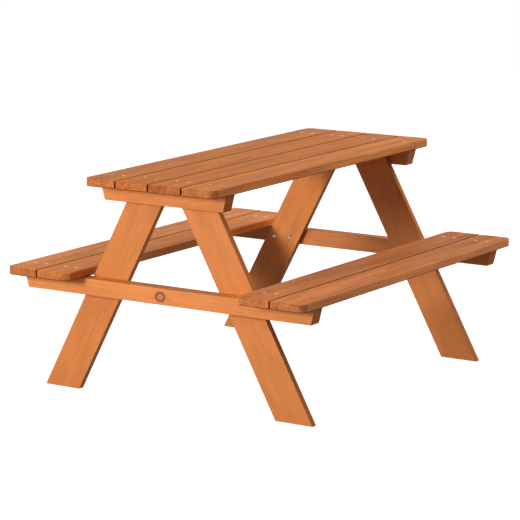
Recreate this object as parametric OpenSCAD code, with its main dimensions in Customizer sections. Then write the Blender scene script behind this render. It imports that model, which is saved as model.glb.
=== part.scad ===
// Child's A-frame picnic table. Four planks form the top and two planks form each bench.
// At each end a pair of splayed legs is bolted to a cleat under the top and to a long
// bearer that carries both benches. Millimetres, with +X towards the far end, +Y towards
// the left bench and +Z up. The origin is on the ground under the middle of the top.

/* [Table] */
// Height of the table top above the ground
table_height = 500; // [460:5:560]
// Height of the seats above the ground
seat_height = 282; // [240:2:320]
// Overall width across both benches
overall_width = 790; // [770:5:900]

/* [Planks] */
// Length of the table top and of both benches
plank_length = 890; // [800:10:1200]
// Width of every plank
plank_width = 84; // [76:1:88]
// Thickness of every plank
plank_thickness = 18; // [14:1:22]
// Gap between neighbouring planks
plank_gap = 3; // [1:0.5:8]
// Radius of the rounded long edges of the planks
plank_edge_radius = 2; // [1:0.5:6]
// Radius of the outer corners of the top and of the benches, seen from above
corner_radius = 18; // [6:1:30]

/* [Cleats and bearers] */
// Distance from the plank ends to the outer faces of the cleats and bearers
frame_inset = 54; // [40:1:90]
// Thickness of the cleats and bearers, along the table
batten_thickness = 32; // [26:1:40]
// Height of the cleats and bearers
batten_height = 37; // [34:1:48]
// Length of the cleats along their upper edge
cleat_length = 334; // [310:2:344]
// Length of the bearers along their upper edge
bearer_length = 774; // [750:2:788]
// Slant of the cleat and bearer ends from the vertical
end_slant = 15; // [0:1:30]

/* [Legs] */
// Width of the leg boards, across the grain
leg_width = 84; // [70:1:90]
// Thickness of the leg boards
leg_thickness = 15; // [14:1:26]
// Overall width across the feet of a pair of legs
foot_spread = 720; // [660:5:740]
// Overall width across the heads of a pair of legs
head_spread = 198; // [190:2:220]
// Radius of the eased long edges of legs, cleats and bearers
board_edge_radius = 1.5; // [0.5:0.5:5]

/* [Plank screws] */
// Diameter of the countersunk wood screws
screw_diameter = 4; // [3.5:0.5:5]
// Length of the countersunk wood screws
screw_length = 40; // [30:1:46]
// Distance between the two screws that fasten a plank at each end
screw_spacing = 30; // [20:1:34]

/* [Frame bolts] */
// Diameter of the button-head frame bolts
bolt_diameter = 6; // [5:1:6]
// Diameter of the frame bolt heads
bolt_head_diameter = 10.5; // [9:0.5:14]
// Distance between the two bolts where a leg crosses a cleat or a bearer
bolt_spacing = 45; // [42:1:50]
// How far each pair of bolts sits outward of the middle of its leg
bolt_outset = 5; // [0:1:6]
// Length of the threaded inserts in the cleats and bearers
insert_length = 15; // [10:1:20]

/* [Hidden] */
$fn = 64;

// Two ends of the table and two sides of it, as signs along X and Y
NEAR = -1;
FAR = 1;
LEFT = 1;
RIGHT = -1;
BOTH = [-1, 1];

// Levels
top_underside = table_height - plank_thickness;
seat_underside = seat_height - plank_thickness;
cleat_mid_z = top_underside - batten_height / 2;
bearer_mid_z = seat_underside - batten_height / 2;

// Places along the table, from its middle
batten_x = plank_length / 2 - frame_inset - batten_thickness / 2;
joint_x = batten_x - batten_thickness / 2;

// Places across the table, from its middle
plank_pitch = plank_width + plank_gap;
top_inner_y = plank_pitch / 2;
top_outer_y = top_inner_y + plank_pitch;
bench_outer_y = (overall_width - plank_width) / 2;
bench_inner_y = bench_outer_y - plank_pitch;

// Leg slope
leg_drift = (foot_spread - head_spread) / 2;
leg_lean = atan(leg_drift / top_underside);
leg_level_width = leg_width / cos(leg_lean);
leg_mid_at_foot = (foot_spread - leg_level_width) / 2;

// Fasteners
fit_gap = 0.05;
hole_play = 0.5;
screw_head_diameter = 2 * screw_diameter;
screw_head_rim = 0.4;
screw_head_cone = (screw_head_diameter - screw_diameter) / 2;
screw_sink = 0.1;
screw_tip = 6;
cross_slot = [1, 4, 1.6];
bolt_head_rim = 0.8;
bolt_head_dome = 2.5;
bolt_length = leg_thickness + insert_length - 1;
socket_width = 4;
socket_depth = 2.2;
insert_diameter = bolt_diameter + 3;
insert_chamfer = 1;
insert_hole_depth = insert_length + 2;
fastener_turn_step = 37;
over = 1;

plank_colour = [0.78, 0.48, 0.30];
frame_colour = [0.86, 0.53, 0.30];
zinc_colour = [0.80, 0.80, 0.78];

// Where the middle of a leg is across the table, at height z
function leg_mid_y(z) = leg_mid_at_foot - z * tan(leg_lean);

// Rectangle about the origin with round corners
module rounded_rectangle(width, height, radius) {
    square([width - 2 * radius, height], center = true);
    square([width, height - 2 * radius], center = true);
    for (u = BOTH, v = BOTH)
        translate([u * (width / 2 - radius), v * (height / 2 - radius)]) circle(radius);
}

// Plank seen from above; the corners on its round_side (-1, 0 or 1 along Y) are round
module plank_outline(round_side) {
    inner_width = plank_width - corner_radius;
    if (round_side == 0)
        square([plank_length, plank_width], center = true);
    else {
        translate([0, -round_side * corner_radius / 2]) square([plank_length, inner_width], center = true);
        square([plank_length - 2 * corner_radius, plank_width], center = true);
        for (end = BOTH)
            translate([end * (plank_length / 2 - corner_radius), round_side * (plank_width / 2 - corner_radius)])
                circle(corner_radius);
    }
}

// Stepped hole for a sunk wood screw, from a plank face at z = 0 down through the plank
module countersink() {
    head_radius = screw_head_diameter / 2 + fit_gap;
    shank_radius = screw_diameter / 2 + fit_gap;
    seat_z = -screw_sink - screw_head_rim;
    translate([0, 0, seat_z]) cylinder(h = over - seat_z, r = head_radius);
    translate([0, 0, seat_z - screw_head_cone]) cylinder(h = screw_head_cone, r1 = shank_radius, r2 = head_radius);
    translate([0, 0, -plank_thickness - over]) cylinder(h = plank_thickness, r = shank_radius);
}

// Plank along X with its upper face at z = 0, drilled for two screws at each end
module plank(round_side) {
    difference() {
        intersection() {
            translate([0, 0, -plank_thickness / 2]) rotate([90, 0, 90])
                linear_extrude(plank_length, center = true)
                    rounded_rectangle(plank_width, plank_thickness, plank_edge_radius);
            translate([0, 0, -plank_thickness]) linear_extrude(plank_thickness) plank_outline(round_side);
        }
        for (end = BOTH, side = BOTH)
            translate([end * batten_x, side * screw_spacing / 2, 0]) countersink();
    }
}

module top_plank(y, round_side) {
    color(plank_colour) translate([0, y, table_height]) plank(round_side);
}

module bench_plank(y, round_side) {
    color(plank_colour) translate([0, y, seat_height]) plank(round_side);
}

// Screw places across one plank fastening, for every plank centre in a list
function screw_ys(plank_ys) = [for (y = plank_ys, side = BOTH) y + side * screw_spacing / 2];
top_screw_ys = screw_ys([-top_outer_y, -top_inner_y, top_inner_y, top_outer_y]);
bench_screw_ys = screw_ys([-bench_outer_y, -bench_inner_y, bench_inner_y, bench_outer_y]);

// Bolt places across the table where the two legs of an end frame pass height z
function bolt_y(side, step, z) = side * (leg_mid_y(z) + bolt_outset) + step * bolt_spacing / 2;
function bolt_ys(z) = [for (side = BOTH, step = BOTH) bolt_y(side, step, z)];

// Angle at which the fastener in place i of a row at one end came to rest when driven home
function stopping_turn(end, i) = (2 * i + end) * fastener_turn_step;

// Batten across the table with slanted ends, its upper face at z = 0 and the legs on its
// joint_side (-1 or 1 along X). It has a blind hole for each screw and for each insert.
module batten(length, joint_side, screw_places, insert_places) {
    end_setback = batten_height * tan(end_slant);
    screw_depth = screw_length - plank_thickness + screw_sink + over;
    difference() {
        intersection() {
            translate([0, 0, -batten_height / 2]) rotate([90, 0, 0])
                linear_extrude(length, center = true)
                    rounded_rectangle(batten_thickness, batten_height, board_edge_radius);
            rotate([90, 0, 90]) linear_extrude(batten_thickness, center = true)
                polygon([
                    [-length / 2, 0],
                    [length / 2, 0],
                    [length / 2 - end_setback, -batten_height],
                    [end_setback - length / 2, -batten_height]
                ]);
        }
        for (y = screw_places)
            translate([0, y, -screw_depth]) cylinder(h = screw_depth + over, r = screw_diameter / 2 + fit_gap);
        for (y = insert_places)
            translate([joint_side * (batten_thickness / 2 - insert_hole_depth), y, -batten_height / 2])
                rotate([0, joint_side * 90, 0])
                    cylinder(h = insert_hole_depth + over, r = insert_diameter / 2 + fit_gap);
    }
}

module top_cleat(end) {
    color(frame_colour) translate([end * batten_x, 0, top_underside])
        batten(cleat_length, -end, top_screw_ys, bolt_ys(cleat_mid_z));
}

module bench_bearer(end) {
    color(frame_colour) translate([end * batten_x, 0, seat_underside])
        batten(bearer_length, -end, bench_screw_ys, bolt_ys(bearer_mid_z));
}

// Leg from the ground up to the underside of the top, sawn level at both ends
module leg(end, side) {
    mid_x = end * (joint_x - leg_thickness / 2);
    slab_size = [leg_thickness, foot_spread, top_underside];
    board_length = top_underside / cos(leg_lean) + leg_width;
    color(frame_colour) translate([mid_x, 0, 0]) difference() {
        intersection() {
            translate([0, side * leg_mid_at_foot, 0]) rotate([side * leg_lean, 0, 0])
                linear_extrude(2 * board_length, center = true)
                    rounded_rectangle(leg_thickness, leg_width, board_edge_radius);
            translate([0, 0, top_underside / 2]) cube(slab_size, center = true);
        }
        for (z = [cleat_mid_z, bearer_mid_z], step = BOTH)
            translate([0, bolt_y(side, step, z), z]) rotate([0, 90, 0])
                cylinder(h = leg_thickness + 2 * over, r = (bolt_diameter + hole_play) / 2, center = true);
    }
}

// Countersunk wood screw with a cross recess, its head's upper face at z = 0
module wood_screw() {
    head_radius = screw_head_diameter / 2;
    shank_radius = screw_diameter / 2;
    head_bottom = -screw_head_rim - screw_head_cone;
    difference() {
        union() {
            translate([0, 0, -screw_head_rim]) cylinder(h = screw_head_rim, r = head_radius);
            translate([0, 0, head_bottom]) cylinder(h = screw_head_cone, r1 = shank_radius, r2 = head_radius);
            translate([0, 0, screw_tip - screw_length])
                cylinder(h = screw_length - screw_tip + head_bottom, r = shank_radius);
            translate([0, 0, -screw_length]) cylinder(h = screw_tip, r1 = 0, r2 = shank_radius);
        }
        for (turn = [0, 90])
            rotate([0, 0, turn]) cube([cross_slot.x, cross_slot.y, 2 * cross_slot.z], center = true);
    }
}

// Wood screws through the planks whose upper faces are at face_z
module plank_screws(face_z, screw_places) {
    color(zinc_colour)
        for (end = BOTH, i = [0 : len(screw_places) - 1])
            translate([end * batten_x, screw_places[i], face_z - screw_sink])
                rotate([0, 0, stopping_turn(end, i)]) wood_screw();
}

// Button-head bolt with a hex socket, its head standing on z = 0 and its shank below
module frame_bolt() {
    head_radius = bolt_head_diameter / 2;
    dome_radius = (head_radius * head_radius + bolt_head_dome * bolt_head_dome) / (2 * bolt_head_dome);
    head_height = bolt_head_rim + bolt_head_dome;
    difference() {
        union() {
            cylinder(h = bolt_head_rim, r = head_radius);
            intersection() {
                translate([0, 0, head_height - dome_radius]) sphere(dome_radius);
                translate([0, 0, bolt_head_rim]) cylinder(h = bolt_head_dome, r = head_radius);
            }
            translate([0, 0, -bolt_length]) cylinder(h = bolt_length, r = bolt_diameter / 2);
        }
        translate([0, 0, head_height - socket_depth])
            cylinder(h = socket_depth + over, d = socket_width / cos(30), $fn = 6);
    }
}

// Bolts from the inner faces of the legs, at height z
module frame_bolts(z) {
    places = bolt_ys(z);
    color(zinc_colour)
        for (end = BOTH, i = [0 : len(places) - 1])
            translate([end * (joint_x - leg_thickness), places[i], z])
                rotate([0, -end * 90, 0]) rotate([0, 0, stopping_turn(end, i)]) frame_bolt();
}

// Threaded insert with its mouth at z = 0 and a chamfered nose
module threaded_insert() {
    outer_radius = insert_diameter / 2;
    difference() {
        union() {
            translate([0, 0, insert_chamfer - insert_length])
                cylinder(h = insert_length - insert_chamfer, r = outer_radius);
            translate([0, 0, -insert_length])
                cylinder(h = insert_chamfer, r1 = outer_radius - insert_chamfer, r2 = outer_radius);
        }
        translate([0, 0, -insert_length - over])
            cylinder(h = insert_length + 2 * over, r = bolt_diameter / 2 + fit_gap);
    }
}

// Inserts in the joint faces of the battens, at height z
module threaded_inserts(z) {
    color(zinc_colour)
        for (end = BOTH, y = bolt_ys(z))
            translate([end * joint_x, y, z]) rotate([0, -end * 90, 0]) threaded_insert();
}

module top_plank_left_outer() { top_plank(top_outer_y, LEFT); }
module top_plank_left_inner() { top_plank(top_inner_y, 0); }
module top_plank_right_inner() { top_plank(-top_inner_y, 0); }
module top_plank_right_outer() { top_plank(-top_outer_y, RIGHT); }
module bench_plank_left_outer() { bench_plank(bench_outer_y, LEFT); }
module bench_plank_left_inner() { bench_plank(bench_inner_y, RIGHT); }
module bench_plank_right_inner() { bench_plank(-bench_inner_y, LEFT); }
module bench_plank_right_outer() { bench_plank(-bench_outer_y, RIGHT); }
module top_cleat_near() { top_cleat(NEAR); }
module top_cleat_far() { top_cleat(FAR); }
module bench_bearer_near() { bench_bearer(NEAR); }
module bench_bearer_far() { bench_bearer(FAR); }
module leg_near_left() { leg(NEAR, LEFT); }
module leg_near_right() { leg(NEAR, RIGHT); }
module leg_far_left() { leg(FAR, LEFT); }
module leg_far_right() { leg(FAR, RIGHT); }
module top_plank_screws() { plank_screws(table_height, top_screw_ys); }
module bench_plank_screws() { plank_screws(seat_height, bench_screw_ys); }
module leg_to_cleat_bolts() { frame_bolts(cleat_mid_z); }
module leg_to_bearer_bolts() { frame_bolts(bearer_mid_z); }
module cleat_inserts() { threaded_inserts(cleat_mid_z); }
module bearer_inserts() { threaded_inserts(bearer_mid_z); }

top_plank_left_outer();
top_plank_left_inner();
top_plank_right_inner();
top_plank_right_outer();
bench_plank_left_outer();
bench_plank_left_inner();
bench_plank_right_inner();
bench_plank_right_outer();
top_cleat_near();
top_cleat_far();
bench_bearer_near();
bench_bearer_far();
leg_near_left();
leg_near_right();
leg_far_left();
leg_far_right();
top_plank_screws();
bench_plank_screws();
leg_to_cleat_bolts();
leg_to_bearer_bolts();
cleat_inserts();
bearer_inserts();
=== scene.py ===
"""Looks of the child's picnic table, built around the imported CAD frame.

Every board is rebuilt as its own mesh with eased edges and drilled holes, and takes a stained
softwood material whose growth rings run through the board, so that faces and ends agree.
The screws, bolts and inserts are the CAD's own pieces in zinc-plated steel.
Metres, in the CAD frame: +X towards the far end, +Y towards the left bench, +Z up.
"""

import math
import random

import bmesh
import bpy
from mathutils import Euler, Matrix, Vector


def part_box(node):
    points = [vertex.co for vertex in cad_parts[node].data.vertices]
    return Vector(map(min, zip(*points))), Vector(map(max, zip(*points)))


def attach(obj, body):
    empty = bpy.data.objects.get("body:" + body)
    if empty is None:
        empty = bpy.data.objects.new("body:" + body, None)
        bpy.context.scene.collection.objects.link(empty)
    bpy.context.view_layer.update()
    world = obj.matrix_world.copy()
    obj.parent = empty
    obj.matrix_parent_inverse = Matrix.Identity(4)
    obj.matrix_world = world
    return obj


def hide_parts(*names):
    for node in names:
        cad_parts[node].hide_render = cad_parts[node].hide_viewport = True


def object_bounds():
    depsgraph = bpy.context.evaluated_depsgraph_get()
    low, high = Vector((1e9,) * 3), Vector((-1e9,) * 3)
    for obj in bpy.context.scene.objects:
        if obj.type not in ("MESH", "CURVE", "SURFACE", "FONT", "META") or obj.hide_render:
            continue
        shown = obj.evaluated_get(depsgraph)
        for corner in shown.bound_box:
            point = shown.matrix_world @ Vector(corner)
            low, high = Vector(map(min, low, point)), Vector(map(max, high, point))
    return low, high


MM = 0.001
ROOT = "root"

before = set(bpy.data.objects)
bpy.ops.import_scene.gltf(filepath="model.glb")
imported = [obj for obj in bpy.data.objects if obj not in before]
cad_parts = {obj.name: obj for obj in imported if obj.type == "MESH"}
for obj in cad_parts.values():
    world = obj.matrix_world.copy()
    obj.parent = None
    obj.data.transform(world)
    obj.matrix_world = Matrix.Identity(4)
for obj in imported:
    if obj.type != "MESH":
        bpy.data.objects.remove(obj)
cad_low, cad_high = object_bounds()

# ------------------------------------------------------------------ sizes

PLANK_EDGE = 2.0 * MM  # rounded long edges of the planks
BOARD_EDGE = 1.5 * MM  # eased long edges of legs, cleats and bearers
SAWN_EDGE = 1.0 * MM  # eased edges round the sawn ends
CORNER_RADIUS = 18.0 * MM  # outer corners of the top and of the benches
ARC_STEPS = 14
CLOSE = 10.0 * MM  # planks nearer than this are neighbours
TOUCH = 0.5 * MM  # boxes that overlap by less than this only touch
EDGE_SEGMENTS = 5
SHARP_ANGLE = math.radians(35)

SCREW_SHANK = 2.0 * MM  # radius
SCREW_RIM = 0.4 * MM  # height of the straight rim above the head's cone
HOLE_GAP = 0.06 * MM  # clearance round a fastener
MOUTH_HEIGHT = 0.25 * MM  # a screw hole widens this far above the screw head's face
MOUTH_FLARE = 0.5 * MM
BOLT_HOLE = 3.25 * MM  # radius
INSERT_EXTRA_DEPTH = 2.0 * MM  # blind depth beyond an insert
TURNED_SIDES = 40

PLANKS = [
    f"{deck}_plank_{side}_{place}"
    for deck in ("top", "bench")
    for side in ("left", "right")
    for place in ("outer", "inner")
]
BATTENS = ["top_cleat_near", "top_cleat_far", "bench_bearer_near", "bench_bearer_far"]
LEGS = [f"leg_{end}_{side}" for end in ("near", "far") for side in ("left", "right")]
SCREWS = ["top_plank_screws", "bench_plank_screws"]
BOLTS = ["leg_to_cleat_bolts", "leg_to_bearer_bolts"]
INSERTS = ["cleat_inserts", "bearer_inserts"]

X_AXIS = Vector((1, 0, 0))
Y_AXIS = Vector((0, 1, 0))
Z_AXIS = Vector((0, 0, 1))


# ------------------------------------------------------------------ reading the frame


def level_span(node, z, tolerance=0.01 * MM):
    """Lowest and highest Y of a CAD node's points at height z."""
    ys = [v.co.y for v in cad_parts[node].data.vertices if abs(v.co.z - z) < tolerance]
    return min(ys), max(ys)


def loose_boxes(node):
    """The box of each separate solid in a CAD node, as (low, high)."""
    bm = bmesh.new()
    bm.from_mesh(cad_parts[node].data)
    bmesh.ops.remove_doubles(bm, verts=bm.verts, dist=0.001 * MM)
    seen = set()
    boxes = []
    for start in bm.verts:
        if start in seen:
            continue
        seen.add(start)
        stack = [start]
        low, high = start.co.copy(), start.co.copy()
        while stack:
            vert = stack.pop()
            low = Vector(map(min, low, vert.co))
            high = Vector(map(max, high, vert.co))
            for edge in vert.link_edges:
                other = edge.other_vert(vert)
                if other not in seen:
                    seen.add(other)
                    stack.append(other)
        boxes.append((low, high))
    bm.free()
    return boxes


def boxes_meet(a, b):
    """True where two (low, high) boxes overlap by more than a touch."""
    return all(a[0][i] <= b[1][i] - TOUCH and b[0][i] <= a[1][i] - TOUCH for i in range(3))


# ------------------------------------------------------------------ board outlines


def rounded_corner(before, corner, after, radius):
    """Points of the arc that rounds a corner between its two neighbours."""
    to_before = (before - corner).normalized()
    to_after = (after - corner).normalized()
    half_angle = to_before.angle(to_after) / 2
    centre = corner + (to_before + to_after).normalized() * (radius / math.sin(half_angle))
    start = corner + to_before * (radius / math.tan(half_angle)) - centre
    end = corner + to_after * (radius / math.tan(half_angle)) - centre
    sweep = start.angle(end)
    points = []
    for step in range(ARC_STEPS + 1):
        share = step / ARC_STEPS
        a = math.sin((1 - share) * sweep) / math.sin(sweep)
        b = math.sin(share * sweep) / math.sin(sweep)
        points.append(centre + start * a + end * b)
    return points


def plank_corners(node):
    """World corners of a plank's outline at mid thickness, each with its radius."""
    low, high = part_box(node)
    z = (low.z + high.z) / 2
    on_bench = node.startswith("bench")
    outer_side = 1 if "left" in node else -1
    round_side = outer_side if node.endswith("outer") else (-outer_side if on_bench else 0)
    corners = []
    for x, y_side in ((low.x, -1), (high.x, -1), (high.x, 1), (low.x, 1)):
        y = high.y if y_side > 0 else low.y
        corners.append((Vector((x, y, z)), CORNER_RADIUS if y_side == round_side else 0.0))
    return corners


def upright_corners(node):
    """World corners of a leg's, cleat's or bearer's outline at mid thickness."""
    low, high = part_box(node)
    x = (low.x + high.x) / 2
    bottom = level_span(node, low.z)
    top = level_span(node, high.z)
    section = ((bottom[0], low.z), (bottom[1], low.z), (top[1], high.z), (top[0], high.z))
    return [(Vector((x, y, z)), 0.0) for y, z in section]


def neighbour_sides(node):
    """1 or 0 for each side that touches or nearly touches another piece: +Y, -Y, underside."""
    low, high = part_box(node)
    left, right = 0.0, 0.0
    for other in PLANKS if node in PLANKS else ():
        other_low, other_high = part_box(other)
        if abs(other_low.z - low.z) < MM:
            left = max(left, float(0 < other_low.y - high.y < CLOSE))
            right = max(right, float(0 < low.y - other_high.y < CLOSE))
    return Vector((left, right, float(node in PLANKS)))


def grain_direction(node, corners):
    """World direction of the grain: along the board."""
    if node in PLANKS:
        return X_AXIS
    if node in BATTENS:
        return Y_AXIS
    return (corners[3][0] - corners[0][0]).normalized()


# ------------------------------------------------------------------ board meshes


def prism(points, radii, thickness, edge_radius):
    """A flat-sided board from its outline, with bevel weights on the edges that get eased."""
    bm = bmesh.new()
    lower = [bm.verts.new((p.x, p.y, -thickness / 2)) for p in points]
    upper = [bm.verts.new((p.x, p.y, thickness / 2)) for p in points]
    bm.faces.new(reversed(lower))
    bm.faces.new(upper)
    weight = bm.edges.layers.float.new("bevel_weight_edge")
    count = len(points)
    for i in range(count):
        j = (i + 1) % count
        bm.faces.new((lower[i], lower[j], upper[j], upper[i]))
        along = (points[j] - points[i]).normalized()
        on_side = along.x * along.x
        radius = edge_radius * on_side + SAWN_EDGE * (1 - on_side)
        for ring in (lower, upper):
            edge = bm.edges.get((ring[i], ring[j]))
            edge[weight] = radius / edge_radius
    for i in range(count):
        if radii[i] == 0.0:
            edge = bm.edges.get((lower[i], upper[i]))
            edge[weight] = SAWN_EDGE / edge_radius
    bmesh.ops.recalc_face_normals(bm, faces=bm.faces)
    mesh = bpy.data.meshes.new("prism")
    bm.to_mesh(mesh)
    bm.free()
    return mesh


def turned_cutter(bm, profile, origin, axis):
    """Adds a closed solid of revolution: profile is (radius, height) from the bottom axis point up."""
    turn = axis.to_track_quat("Z", "Y").to_matrix().to_4x4()
    place = Matrix.Translation(origin) @ turn
    rings = []
    for radius, height in profile:
        ring = []
        for k in range(TURNED_SIDES):
            angle = 2 * math.pi * k / TURNED_SIDES
            point = Vector((radius * math.cos(angle), radius * math.sin(angle), height))
            ring.append(bm.verts.new(place @ point))
        rings.append(ring)
    for ring, above in zip(rings, rings[1:]):
        for k in range(TURNED_SIDES):
            m = (k + 1) % TURNED_SIDES
            bm.faces.new((ring[k], ring[m], above[m], above[k]))
    bm.faces.new(reversed(rings[0]))
    bm.faces.new(rings[-1])


def screw_profile(low, high):
    """Outline of the hole round one wood screw, from its tip up; zero is the screw head's face."""
    head = (high.x - low.x) / 2
    length = high.z - low.z
    cone = head - SCREW_SHANK
    return [
        (SCREW_SHANK + HOLE_GAP, -length - MM),
        (SCREW_SHANK + HOLE_GAP, -SCREW_RIM - cone),
        (head + HOLE_GAP, -SCREW_RIM),
        (head + 2 * HOLE_GAP, MOUTH_HEIGHT),
        (head + MOUTH_FLARE, MM),
    ]


def screw_holes(bm, board_box):
    """Adds a hole for each wood screw that meets the board."""
    for group in SCREWS:
        for low, high in loose_boxes(group):
            if boxes_meet((low, high), board_box):
                origin = Vector(((low.x + high.x) / 2, (low.y + high.y) / 2, high.z))
                turned_cutter(bm, screw_profile(low, high), origin, Z_AXIS)


def insert_holes(bm, board_box):
    """Adds a blind hole for each threaded insert, open towards the middle of the table."""
    for group in INSERTS:
        for low, high in loose_boxes(group):
            if boxes_meet((low, high), board_box):
                radius = (high.z - low.z) / 2 + HOLE_GAP
                middle = (low + high) / 2
                inward = X_AXIS if middle.x < 0 else -X_AXIS
                half_depth = (high.x - low.x) / 2
                profile = [(radius, -half_depth - INSERT_EXTRA_DEPTH), (radius, half_depth + MM)]
                turned_cutter(bm, profile, middle, inward)


def bolt_holes(bm, board_box):
    """Adds a through hole for each frame bolt that meets the board."""
    board_x = (board_box[0].x + board_box[1].x) / 2
    reach = (board_box[1].x - board_box[0].x) / 2 + MM
    for group in BOLTS:
        for low, high in loose_boxes(group):
            if boxes_meet((low, high), board_box):
                middle = Vector((board_x, (low.y + high.y) / 2, (low.z + high.z) / 2))
                turned_cutter(bm, [(BOLT_HOLE, -reach), (BOLT_HOLE, reach)], middle, X_AXIS)


def hole_cutter(node):
    """One mesh that holds every hole of a board."""
    board_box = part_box(node)
    bm = bmesh.new()
    screw_holes(bm, board_box)
    if node in BATTENS:
        insert_holes(bm, board_box)
    if node in LEGS:
        bolt_holes(bm, board_box)
    bmesh.ops.recalc_face_normals(bm, faces=bm.faces)
    mesh = bpy.data.meshes.new(node + "_holes")
    bm.to_mesh(mesh)
    bm.free()
    return mesh


def applied(mesh, modify):
    """A copy of mesh with the modifiers that modify(object) adds."""
    worker = bpy.data.objects.new("worker", mesh)
    bpy.context.scene.collection.objects.link(worker)
    modify(worker)
    graph = bpy.context.evaluated_depsgraph_get()
    result = bpy.data.meshes.new_from_object(worker.evaluated_get(graph), depsgraph=graph)
    bpy.data.objects.remove(worker)
    return result


def eased(mesh, width):
    """The board with its weighted edges rounded."""

    def modify(worker):
        bevel = worker.modifiers.new("ease", "BEVEL")
        bevel.limit_method = "WEIGHT"
        bevel.width = width
        bevel.segments = EDGE_SEGMENTS
        bevel.use_clamp_overlap = False
        bevel.loop_slide = True

    return applied(mesh, modify)


def drilled(mesh, cutter_mesh):
    """The board less its holes."""
    cutter = bpy.data.objects.new("cutter", cutter_mesh)
    bpy.context.scene.collection.objects.link(cutter)

    def modify(worker):
        cut = worker.modifiers.new("drill", "BOOLEAN")
        cut.operation = "DIFFERENCE"
        cut.solver = "EXACT"
        cut.object = cutter

    result = applied(mesh, modify)
    bpy.data.objects.remove(cutter)
    return result


def write_vectors(mesh, name, values):
    """Stores one vector per vertex for the material to read."""
    layer = mesh.attributes.new(name, "FLOAT_VECTOR", "POINT")
    layer.data.foreach_set("vector", [c for v in values for c in v])


def outline(corners, to_local):
    """Points of a board's outline in its own axes, counter-clockwise, and the radius at each."""
    flat = [(to_local @ corner, radius) for corner, radius in corners]
    turn = sum(a.x * b.y - b.x * a.y for (a, _), (b, _) in zip(flat, flat[1:] + flat[:1]))
    if turn < 0:
        flat.reverse()
    points, radii = [], []
    for i, (corner, radius) in enumerate(flat):
        before, after = flat[i - 1][0], flat[(i + 1) % len(flat)][0]
        arc = rounded_corner(before, corner, after, radius) if radius > 0.0 else [corner]
        points.extend(arc)
        radii.extend([radius] * len(arc))
    return points, radii


def describe_wood(mesh, node, to_local, half, grain, log):
    """Stores what the wood material reads: where each point is in the board and in its log."""
    local = [to_local @ v.co for v in mesh.vertices]
    write_vectors(mesh, "local", local)
    write_vectors(mesh, "log", [log.turn @ (p - log.pith) + log.shift for p in local])
    for name, value in (
        ("half", half),
        ("axis", grain),
        ("tone", log.tone),
        ("sawn", log.sawn),
        ("close", neighbour_sides(node)),
    ):
        write_vectors(mesh, name, [value] * len(local))


def board(node, edge_radius, log, material):
    """Builds one board in place of its CAD node."""
    corners = plank_corners(node) if node in PLANKS else upright_corners(node)
    low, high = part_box(node)
    across_thickness = Z_AXIS if node in PLANKS else X_AXIS
    thickness = (high - low).dot(across_thickness)
    grain = grain_direction(node, corners)
    placed = Matrix((grain, across_thickness.cross(grain), across_thickness)).transposed().to_4x4()
    placed.translation = sum((corner for corner, _ in corners), Vector()) / len(corners)
    to_local = placed.inverted()

    points, radii = outline(corners, to_local)
    mesh = eased(prism(points, radii, thickness, edge_radius), edge_radius)
    mesh.transform(placed)
    mesh = drilled(mesh, hole_cutter(node))
    half = Vector((max(abs(p.x) for p in points), max(abs(p.y) for p in points), thickness / 2))
    describe_wood(mesh, node, to_local, half, grain, log)

    mesh.materials.clear()
    mesh.materials.append(material)
    mesh.shade_smooth()
    mesh.set_sharp_from_angle(angle=SHARP_ANGLE)
    piece = bpy.data.objects.new(node + "_board", mesh)
    bpy.context.scene.collection.objects.link(piece)
    normals = piece.modifiers.new("face_weighted_normals", "WEIGHTED_NORMAL")
    normals.keep_sharp = True
    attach(piece, ROOT)
    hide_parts(node)


# ------------------------------------------------------------------ material helper


def tint(red, green, blue):
    """A linear colour from 0 to 255 screen values."""
    linear = []
    for value in (red, green, blue):
        share = value / 255
        linear.append(share / 12.92 if share <= 0.04045 else ((share + 0.055) / 1.055) ** 2.4)
    return (*linear, 1.0)


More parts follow.
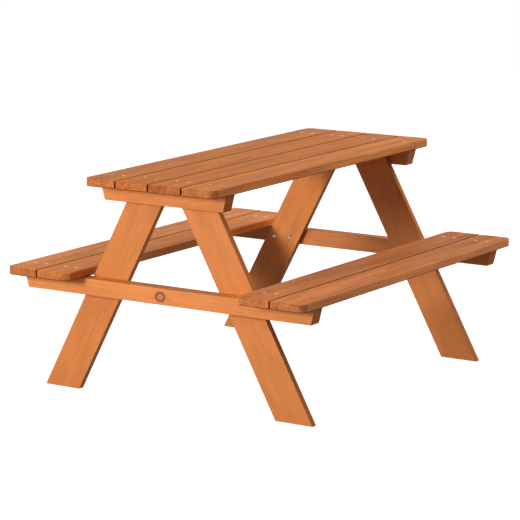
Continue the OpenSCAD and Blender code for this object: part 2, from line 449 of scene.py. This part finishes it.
class Nodes:
    """Adds nodes to a material's tree and wires them; every method returns an output socket."""

    def __init__(self, name):
        self.material = bpy.data.materials.new(name)
        self.material.use_nodes = True
        self.tree = self.material.node_tree
        self.shader = self.tree.nodes["Principled BSDF"]

    def wire(self, value, socket):
        if isinstance(value, bpy.types.NodeSocket):
            self.tree.links.new(value, socket)
        elif value is not None:
            socket.default_value = value

    def attribute(self, name):
        node = self.tree.nodes.new("ShaderNodeAttribute")
        node.attribute_name = name
        return node.outputs["Vector"]

    def geometry(self, output):
        return self.tree.nodes.new("ShaderNodeNewGeometry").outputs[output]

    def math(self, operation, a, b=None):
        node = self.tree.nodes.new("ShaderNodeMath")
        node.operation = operation
        self.wire(a, node.inputs[0])
        self.wire(b, node.inputs[1])
        return node.outputs[0]

    def product(self, first, *others):
        for other in others:
            first = self.math("MULTIPLY", first, other)
        return first

    def vector(self, operation, a, b=None, scale=None):
        node = self.tree.nodes.new("ShaderNodeVectorMath")
        node.operation = operation
        self.wire(a, node.inputs[0])
        if b is not None:
            self.wire(b, node.inputs[1])
        if scale is not None:
            self.wire(scale, node.inputs["Scale"])
        return node.outputs["Value" if operation in ("LENGTH", "DOT_PRODUCT", "DISTANCE") else "Vector"]

    def split(self, vector):
        node = self.tree.nodes.new("ShaderNodeSeparateXYZ")
        self.wire(vector, node.inputs[0])
        return node.outputs

    def join(self, x, y, z):
        node = self.tree.nodes.new("ShaderNodeCombineXYZ")
        for value, socket in zip((x, y, z), node.inputs):
            self.wire(value, socket)
        return node.outputs[0]

    def noise(self, vector, scale=1.0, detail=2.0, roughness=0.5, colour=False):
        node = self.tree.nodes.new("ShaderNodeTexNoise")
        self.wire(vector, node.inputs["Vector"])
        node.inputs["Scale"].default_value = scale
        node.inputs["Detail"].default_value = detail
        node.inputs["Roughness"].default_value = roughness
        return node.outputs["Color" if colour else "Fac"]

    def dice(self, value):
        """The same random number from 0 to 1 for each whole value."""
        node = self.tree.nodes.new("ShaderNodeTexWhiteNoise")
        node.noise_dimensions = "1D"
        self.wire(value, node.inputs["W"])
        return node.outputs["Value"]

    def spread(self, value, low, high, to_low=0.0, to_high=1.0, smooth=False):
        """Maps low..high to to_low..to_high and stays inside them."""
        node = self.tree.nodes.new("ShaderNodeMapRange")
        node.interpolation_type = "SMOOTHSTEP" if smooth else "LINEAR"
        self.wire(value, node.inputs["Value"])
        self.wire(low, node.inputs["From Min"])
        self.wire(high, node.inputs["From Max"])
        self.wire(to_low, node.inputs["To Min"])
        self.wire(to_high, node.inputs["To Max"])
        return node.outputs["Result"]

    def blend(self, share, a, b):
        """The number a where share is 0, b where it is 1."""
        return self.spread(share, 0.0, 1.0, a, b)

    def mix(self, share, a, b, blend="MIX"):
        node = self.tree.nodes.new("ShaderNodeMix")
        node.data_type = "RGBA"
        node.blend_type = blend
        node.clamp_factor = True
        self.wire(share, node.inputs["Factor"])
        self.wire(a, node.inputs["A"])
        self.wire(b, node.inputs["B"])
        return node.outputs["Result"]

    def ramp(self, share, stops):
        node = self.tree.nodes.new("ShaderNodeValToRGB")
        elements = node.color_ramp.elements
        while len(elements) < len(stops):
            elements.new(1.0)
        for element, (place, colour) in zip(elements, stops):
            element.position = place
            element.color = colour
        self.wire(share, node.inputs[0])
        return node.outputs["Color"]

    def bump(self, height, distance, strength):
        node = self.tree.nodes.new("ShaderNodeBump")
        node.inputs["Distance"].default_value = distance
        node.inputs["Strength"].default_value = strength
        self.wire(height, node.inputs["Height"])
        return node.outputs["Normal"]

    def finish(self, colour, roughness, normal, metallic=0.0, specular=0.5):
        self.wire(colour, self.shader.inputs["Base Color"])
        self.wire(roughness, self.shader.inputs["Roughness"])
        self.wire(normal, self.shader.inputs["Normal"])
        self.wire(metallic, self.shader.inputs["Metallic"])
        self.wire(specular, self.shader.inputs["Specular IOR Level"])
        return self.material


# ------------------------------------------------------------------ stained softwood

EARLY_LIGHT = tint(216, 132, 64)
EARLY_DARK = tint(197, 112, 50)
LATE = tint(160, 78, 30)
FLECK = tint(140, 66, 26)
END_LATE = tint(116, 50, 18)
# Colour of the painted shade in the gaps between planks and along their resting edges.
PAINTED_SEAM_SHADE = tint(108, 26, 5)
END_STAIN = (0.80, 0.72, 0.58, 1.0)

RING_PITCH = 3.6 * MM
FIBRE_WANDER = 14.0 * MM
HEART_EDGE = 2.0 * MM  # how softly the heartwood ends
HEART_SHARE = 0.32  # how dark the heartwood is on a sawn end
WOOD_RELIEF = 0.12 * MM

# Where each effect starts and where it is full, measured outward from a board's outer faces.
SIDE_EDGE = (-1.0 * MM, -0.2 * MM)
# the lighter eased edges: partly sanding wear, partly a painted highlight
SANDED_AND_HIGHLIT_EDGE = (-4.0 * MM, -0.5 * MM)
# the painted shade on the walls of the gaps between planks
PAINTED_WALL_SHADE_REACH = (-1.3 * MM, -0.2 * MM)
PAINTED_RESTING_SHADE_REACH = (1.2 * MM, 2.6 * MM)  # heights above the resting face between which the painted shade fades

KNOT_WOBBLE = 5.0 * MM
KNOT_SHAPE = (0.9, 1.06, 0.0)  # a little longer along the board than across it
KNOT_PITH = tint(132, 78, 46)
KNOT_HEART = tint(186, 130, 92)
KNOT_HEART_DARK = tint(172, 114, 76)
KNOT_BARK = tint(128, 68, 28)


def fibre_place(n, log):
    """The place in the log, shifted so that the fibres wander a little along the board."""
    slow = n.noise(n.vector("MULTIPLY", log, (1.7, 6.0, 6.0)), 1.0, 1.5, 0.5, colour=True)
    wander = n.vector("SCALE", n.vector("SUBTRACT", slow, (0.5, 0.5, 0.5)), scale=FIBRE_WANDER)
    along, side, depth = n.split(log)
    _, wander_side, wander_depth = n.split(wander)
    return n.join(along, n.math("ADD", side, wander_side), n.math("ADD", depth, wander_depth))


def drawn_out(n, place, along, across, detail, roughness):
    """Noise with this many waves to the metre along and across the fibres."""
    return n.noise(n.vector("MULTIPLY", place, (along, across, across)), 1.0, detail, roughness)


def growth_rings(n, radius):
    """How many rings lie inside a radius. Their widths are uneven."""
    uneven = n.noise(n.join(n.math("MULTIPLY", radius, 70.0), 0.0, 0.0), 1.0, 1.0)
    return n.math("ADD", n.math("DIVIDE", radius, RING_PITCH), n.math("MULTIPLY", uneven, 3.0))


def latewood(n, rings):
    """One dark line at the end of each ring, stronger in some years than in others."""
    season = n.math("FRACT", rings)
    rise = n.spread(season, 0.35, 0.9, smooth=True)
    fall = n.spread(season, 0.93, 1.0, 1.0, 0.0, smooth=True)
    strength = n.blend(n.dice(n.math("FLOOR", rings)), 0.3, 1.0)
    return n.product(rise, fall, strength)


def stain_shade(n, place, pores, streaks, end, end_tone, band_contrast):
    """How light the stain took: patches, pores, streaks and bands, and mottled sawn ends."""
    patches = drawn_out(n, place, 11.0, 32.0, 3.0, 0.55)
    bands = drawn_out(n, place, 3.0, 42.0, 1.0, 0.5)
    mottle = n.spread(drawn_out(n, place, 60.0, 130.0, 2.0, 0.5), 0.45, 0.75)
    return n.product(
        n.spread(patches, 0.3, 0.7, 0.93, 1.07),
        n.spread(pores, 0.3, 0.75, 0.95, 1.04),
        n.spread(streaks, 0.3, 0.7, 0.96, 1.04),
        n.spread(bands, 0.34, 0.66, 1.0 - band_contrast, 1.0 + band_contrast),
        n.blend(end, 1.0, end_tone),
        n.blend(n.product(end, mottle), 1.0, 0.66),
    )


def paint_seam_shade(n, local, half, near_side):
    """Painted shade on the walls between planks and along the planks' resting edges, where the gaps and
    seams fall in shade.
    """
    _, side, up = n.split(local)
    _, _, half_up = n.split(half)
    close_left, close_right, resting = n.split(n.attribute("close"))
    close = n.blend(n.math("GREATER_THAN", side, 0.0), close_right, close_left)
    wall = n.product(close, n.spread(near_side, *PAINTED_WALL_SHADE_REACH))
    seam = n.product(resting, n.spread(n.math("ADD", up, half_up), *PAINTED_RESTING_SHADE_REACH, 1.0, 0.0))
    return n.math("MAXIMUM", wall, n.product(seam, 0.85))


def knot_reach(n, local, knot):
    """Distance from a knot = (along, across, radius) in a board, counted in knot radii."""
    along, across, radius = knot
    wobble = n.noise(n.vector("MULTIPLY", local, (110.0, 110.0, 60.0)), 1.0, 2.0, colour=True)
    shift = n.vector("SCALE", n.vector("SUBTRACT", wobble, (0.5, 0.5, 0.5)), scale=KNOT_WOBBLE)
    from_knot = n.vector("SUBTRACT", n.vector("ADD", local, shift), (along, across, 0.0))
    return n.math("DIVIDE", n.vector("LENGTH", n.vector("MULTIPLY", from_knot, KNOT_SHAPE)), radius)


def over_knot(n, colour, reach):
    """The colour of the wood with a knot in it: pale heart, dark ring of bark, stained rim."""
    stops = [
        (0.0, KNOT_PITH),
        (0.05, KNOT_PITH),
        (0.12, KNOT_HEART),
        (0.30, KNOT_HEART_DARK),
        (0.36, KNOT_HEART),
        (0.48, KNOT_BARK),
        (0.66, KNOT_BARK),
        (0.82, EARLY_DARK),
        (1.0, EARLY_LIGHT),
    ]
    inside = n.ramp(n.product(reach, 0.8), stops)
    return n.mix(n.spread(reach, 1.0, 1.35, 0.94, 0.0, smooth=True), colour, inside)


def stained_wood(name, ring_share, fibre_contrast, band_contrast, knot=None):
    """Orange-brown stained softwood. Rings are round the log's axis, which is X of attribute log."""
    n = Nodes(name)
    local = n.attribute("local")
    half = n.attribute("half")
    tone, green, blue = n.split(n.attribute("tone"))
    # The third entry of sawn is the painted shade on the narrow sides.
    end_tone, heart, painted_side_shade = n.split(n.attribute("sawn"))
    _, near_side, near_flat = n.split(n.vector("SUBTRACT", n.vector("ABSOLUTE", local), half))

    # How much a spot faces along the grain: 1 on the sawn ends.
    facing = n.math("ABSOLUTE", n.vector("DOT_PRODUCT", n.geometry("Normal"), n.attribute("axis")))
    end = n.spread(facing, 0.35, 0.85, smooth=True)

    place = fibre_place(n, n.attribute("log"))
    _, side, depth = n.split(place)
    radius = n.vector("LENGTH", n.join(0.0, side, depth))
    rings = growth_rings(n, radius)
    if knot is not None:
        reach = knot_reach(n, local, knot)
        swell = n.spread(reach, 0.8, 2.6, 1.0, 0.0, smooth=True)
        rings = n.math("ADD", rings, n.product(swell, 3.0))
    late = latewood(n, rings)
    fibre = drawn_out(n, place, 9.0, 240.0, 4.0, 0.62)
    pores = drawn_out(n, place, 40.0, 1500.0, 2.0, 0.6)
    streaks = drawn_out(n, place, 9.0, 110.0, 2.0, 0.55)
    flecks = drawn_out(n, place, 28.0, 420.0, 1.0, 0.5)

    # The latewood lines come and go along the faces and stay whole on the ends.
    broken = n.math("MAXIMUM", n.spread(streaks, 0.36, 0.62, 0.15, 1.0), end)
    late_share = n.product(late, broken, n.blend(end, ring_share, 0.95))
    fibre_share = n.spread(fibre, 0.3, 0.7, 0.5 - fibre_contrast, 0.5 + fibre_contrast)
    colour = n.mix(fibre_share, EARLY_DARK, EARLY_LIGHT)
    colour = n.mix(late_share, colour, n.mix(end, LATE, END_LATE))
    in_heart = n.spread(n.math("SUBTRACT", heart, radius), -HEART_EDGE, HEART_EDGE)
    colour = n.mix(n.product(in_heart, end, HEART_SHARE), colour, END_LATE)
    fleck_share = n.product(n.spread(flecks, 0.64, 0.76), n.blend(end, 0.35, 0.25))
    colour = n.mix(fleck_share, colour, FLECK)

    # How the stain took on this board and on its sawn ends.
    shade = stain_shade(n, place, pores, streaks, end, end_tone, band_contrast)
    colour = n.vector("SCALE", colour, scale=n.product(shade, tone))
    colour = n.mix(end, colour, END_STAIN, "MULTIPLY")
    colour = n.vector("MULTIPLY", colour, n.join(1.0, green, blue))
    if knot is not None:
        colour = over_knot(n, colour, reach)
    # Painted shade on the narrow sides: a factor per board darkens them for how the light falls; one
    # bench plank's sides get a little painted light.
    side_share = n.product(n.spread(near_side, *SIDE_EDGE), n.blend(end, 1.0, 0.0))
    colour = n.vector("SCALE", colour, scale=n.blend(side_share, 1.0, painted_side_shade))

    # The eased long edges are lighter, partly thin stain from sanding and partly a painted highlight.
    # The gaps and resting edges get painted shade.
    sanding_and_highlight = n.product(
        n.spread(near_side, *SANDED_AND_HIGHLIT_EDGE), n.spread(near_flat, *SANDED_AND_HIGHLIT_EDGE), n.spread(fibre, 0.35, 0.6)
    )
    # Lighter eased edges: partly thin stain from sanding, partly a painted highlight on the arrises.
    colour = n.mix(n.product(sanding_and_highlight, 0.18), colour, EARLY_LIGHT)
    # Painted shade: the gap walls and the resting edges are darkened towards a dark red-brown, as if in
    # shade.
    seam_shade_share = paint_seam_shade(n, local, half, near_side)
    colour = n.mix(n.product(seam_shade_share, 0.95), colour, PAINTED_SEAM_SHADE)

    rough = n.math("ADD", n.spread(fibre, 0.3, 0.7, 0.64, 0.54), n.product(end, 0.15))
    # The painted seam shade is made fully rough, so that no sheen lightens it.
    rough = n.math("MAXIMUM", rough, seam_shade_share)
    relief = n.math("ADD", n.product(fibre, 0.7), pores)
    relief = n.math("ADD", n.product(late, 0.5), relief)
    return n.finish(colour, rough, n.bump(relief, WOOD_RELIEF, 0.5), specular=0.3)


class Log:
    """How a board was sawn from its log, how it took the stain, and how much painted shade its narrow
    sides get.

    The pith is (across, through) in millimetres from the board's middle, and heart is the radius of
    the darker heartwood round it. The tones multiply the stain's lightness, green and blue its colour.
    """

    def __init__(
        self, node, pith=None, heart=0.0, tone=1.0, green=1.0, blue=1.0, end_tone=1.0, painted_side_shade=1.0
    ):
        pick = random.Random(node)
        if pith is None:
            pith = (pick.uniform(-40, 40), pick.choice((-1, 1)) * pick.uniform(25, 70))
        self.pith = Vector((0.0, pith[0] * MM, pith[1] * MM))
        rise = math.radians(pick.uniform(-1.4, 1.4))
        drift = math.radians(pick.uniform(-1.6, 1.6))
        self.turn = Euler((0.0, rise, drift)).to_matrix()
        self.shift = Vector((pick.uniform(-20, 20), 0.0, 0.0))
        self.tone = Vector((tone, green, blue))
        # The third entry is the painted shade on the narrow sides.
        self.sawn = Vector((end_tone, heart * MM, painted_side_shade))


PLANK_GRAIN = dict(ring_share=0.46, fibre_contrast=0.5, band_contrast=0.12)
FRAME_GRAIN = dict(ring_share=0.08, fibre_contrast=0.24, band_contrast=0.03)

KNOT_Y = 11.0 * MM
KNOT_ABOVE_MIDDLE = -0.5 * MM
KNOT_RADIUS = 13.0 * MM
KNOT = (KNOT_Y, KNOT_ABOVE_MIDDLE, KNOT_RADIUS)

plank_wood = stained_wood("stained_planks", **PLANK_GRAIN)
frame_wood = stained_wood("stained_frame", **FRAME_GRAIN)
bearer_wood = stained_wood("stained_bearer_with_knot", **FRAME_GRAIN, knot=KNOT)

# What is particular about each board; the rest is drawn at random from its name.
BOARD_LOGS = {
    "top_plank_left_outer": dict(pith=(-10, 30), green=1.05, blue=1.1, end_tone=1.15),
    "top_plank_left_inner": dict(pith=(2, -26), green=0.98, blue=0.84, end_tone=1.1),
    "top_plank_right_inner": dict(
        pith=(24, 14), heart=26, tone=1.06, green=0.97, blue=0.86, end_tone=0.93
    ),
    "top_plank_right_outer": dict(
        pith=(20, -48), tone=1.16, green=1.05, blue=1.12, end_tone=0.96, painted_side_shade=0.98
    ),
    "bench_plank_left_outer": dict(tone=1.2, green=1.1, blue=1.4, end_tone=0.8),
    "bench_plank_left_inner": dict(tone=1.28, green=1.03, blue=1.03, end_tone=0.94),
    "bench_plank_right_inner": dict(pith=(12, 22), tone=1.02, green=1.04, blue=1.3, end_tone=1.22),
    "bench_plank_right_outer": dict(
        tone=1.12, green=1.06, blue=1.42, end_tone=1.02, painted_side_shade=1.04
    ),
    "bench_bearer_near": dict(tone=1.12, green=1.03, blue=1.14),
    "bench_bearer_far": dict(tone=1.1, green=1.03, blue=1.2),
    "top_cleat_near": dict(tone=1.04),
    "top_cleat_far": dict(tone=1.06, green=1.08, blue=1.3),
    # The legs' narrow sides get painted shade.
    "leg_near_left": dict(tone=0.95, painted_side_shade=0.85),
    "leg_near_right": dict(tone=1.01, painted_side_shade=0.86),
    "leg_far_left": dict(tone=1.15, painted_side_shade=0.35),
    "leg_far_right": dict(tone=1.22, green=1.02, blue=1.16, painted_side_shade=0.75),
}

for node in PLANKS:
    board(node, PLANK_EDGE, Log(node, **BOARD_LOGS.get(node, {})), plank_wood)
for node in BATTENS + LEGS:
    wood = bearer_wood if node == "bench_bearer_near" else frame_wood
    board(node, BOARD_EDGE, Log(node, **BOARD_LOGS.get(node, {})), wood)


# ------------------------------------------------------------------ zinc-plated steel


BRIGHT_ZINC = tint(240, 220, 182)
DULL_ZINC = tint(196, 174, 132)
SCRATCH_DEPTH = 0.02 * MM


def zinc(name):
    """Bright zinc plate: fine scratches, faint tarnish and a few duller patches."""
    n = Nodes(name)
    place = n.geometry("Position")
    tarnish = n.noise(place, 420.0, 3.0, 0.6)
    scratch = n.noise(n.vector("MULTIPLY", place, (3000.0, 700.0, 1800.0)), 1.0, 2.0, 0.6)
    colour = n.mix(n.spread(tarnish, 0.35, 0.7), BRIGHT_ZINC, DULL_ZINC)
    rough = n.spread(tarnish, 0.3, 0.7, 0.14, 0.24)
    rough = n.math("ADD", rough, n.spread(scratch, 0.3, 0.7, 0.0, 0.08))
    return n.finish(colour, rough, n.bump(scratch, SCRATCH_DEPTH, 0.3), metallic=1.0)


zinc_plate = zinc("zinc_plate")
for node in SCREWS + BOLTS + INSERTS:
    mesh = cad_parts[node].data
    mesh.materials.clear()
    mesh.materials.append(zinc_plate)


# ------------------------------------------------------------------ studio


FLOOR_HALF_SIZE = 60.0
FLOOR_BOUNCE = (0.35, 0.35, 0.35, 1.0)
PAPER_WHITE = 0.98
FLOOR_SHEEN = 0.5
WHITE = (1.0, 1.0, 1.0, 1.0)
MIDDLE = Vector((0, 0, (cad_low.z + cad_high.z) / 2))
LIGHT_DISTANCE = 3.5
ROOM_LIGHT = 0.045


def seen_by_camera(tree):
    """1 for what the camera looks at straight, 0 for light on its way."""
    return tree.nodes.new("ShaderNodeLightPath").outputs["Is Camera Ray"]


def seen_in_gloss(tree):
    """1 for what a glossy surface mirrors, 0 for the rest."""
    return tree.nodes.new("ShaderNodeLightPath").outputs["Is Glossy Ray"]


def studio_floor():
    """A pale floor that fills every view. It looks lighter than the light it throws back."""
    bm = bmesh.new()
    bmesh.ops.create_grid(bm, x_segments=1, y_segments=1, size=FLOOR_HALF_SIZE)
    mesh = bpy.data.meshes.new("floor")
    bm.to_mesh(mesh)
    bm.free()
    n = Nodes("floor_paint")
    n.shader.inputs["Emission Color"].default_value = WHITE
    straight = n.math("MULTIPLY", seen_by_camera(n.tree), PAPER_WHITE)
    mirrored = n.math("MULTIPLY", seen_in_gloss(n.tree), FLOOR_SHEEN)
    n.wire(n.math("ADD", straight, mirrored), n.shader.inputs["Emission Strength"])
    n.finish(FLOOR_BOUNCE, 0.9, None, specular=0.1)
    mesh.materials.append(n.material)
    floor = bpy.data.objects.new("floor", mesh)
    bpy.context.scene.collection.objects.link(floor)


def towards(azimuth, elevation):
    """The direction from the table at these angles in radians; azimuth 0 is the right side."""
    level = math.cos(elevation)
    return Vector((math.sin(azimuth) * level, -math.cos(azimuth) * level, math.sin(elevation)))


def softbox(name, azimuth, elevation, width, height, power, mirrored=True):
    """A flat area light at these angles in degrees. Glossy surfaces show it only if mirrored."""
    lamp = bpy.data.lights.new(name, "AREA")
    lamp.shape = "RECTANGLE"
    lamp.size = width
    lamp.size_y = height
    lamp.energy = power
    away = towards(math.radians(azimuth), math.radians(elevation))
    obj = bpy.data.objects.new(name, lamp)
    obj.location = MIDDLE + away * LIGHT_DISTANCE
    obj.rotation_euler = (-away).to_track_quat("-Z", "Y").to_euler()
    obj.visible_camera = False
    obj.visible_glossy = mirrored
    bpy.context.scene.collection.objects.link(obj)


def studio_world():
    """A pale room to look at, that adds only a little light of its own."""
    world = bpy.data.worlds.new("studio")
    world.use_nodes = True
    tree = world.node_tree
    glow = tree.nodes.new("ShaderNodeMapRange")
    tree.links.new(seen_by_camera(tree), glow.inputs["Value"])
    glow.inputs["To Min"].default_value = ROOM_LIGHT
    glow.inputs["To Max"].default_value = 1.0
    tree.links.new(glow.outputs["Result"], tree.nodes["Background"].inputs["Strength"])
    tree.nodes["Background"].inputs["Color"].default_value = WHITE
    bpy.context.scene.world = world


studio_floor()
studio_world()
softbox("key_softbox", -106, 14, 0.8, 0.7, 88)
softbox("left_softbox", -132, 32, 1.0, 1.0, 22)
softbox("fill_softbox", -72, 8, 2.6, 1.6, 7, mirrored=False)
softbox("rear_softbox", 60, 26, 2.6, 2.6, 94, mirrored=False)
softbox("far_softbox", 125, 11.5, 1.8, 0.6, 6.4)
softbox("top_softbox", 0, 85, 2.6, 2.6, 37)

# ------------------------------------------------------------------ camera

CAMERA_AZIMUTH = math.radians(-55.8)
CAMERA_ELEVATION = math.radians(11.1)
CAMERA_ROLL = math.radians(-0.45)
CAMERA_DISTANCE = 5.764
CAMERA_LENS = 174.7
SENSOR_WIDTH = 36.0
AIM_RIGHT = -12.4 * MM
AIM_UP = 12.1 * MM


def add_camera():
    """The camera, at the chosen angle round the middle of the table."""
    back = towards(CAMERA_AZIMUTH, CAMERA_ELEVATION)
    level_right = Vector((math.cos(CAMERA_AZIMUTH), math.sin(CAMERA_AZIMUTH), 0))
    level_up = back.cross(level_right)
    right = level_right * math.cos(CAMERA_ROLL) + level_up * math.sin(CAMERA_ROLL)
    up = back.cross(right)
    turn = Matrix((right, up, back)).transposed().to_4x4()
    turn.translation = MIDDLE + right * AIM_RIGHT + up * AIM_UP + back * CAMERA_DISTANCE
    data = bpy.data.cameras.new("camera")
    data.lens = CAMERA_LENS
    data.sensor_width = SENSOR_WIDTH
    camera = bpy.data.objects.new("camera", data)
    camera.matrix_world = turn
    bpy.context.scene.collection.objects.link(camera)
    bpy.context.scene.camera = camera


add_camera()
bpy.context.scene.view_settings.view_transform = "Standard"
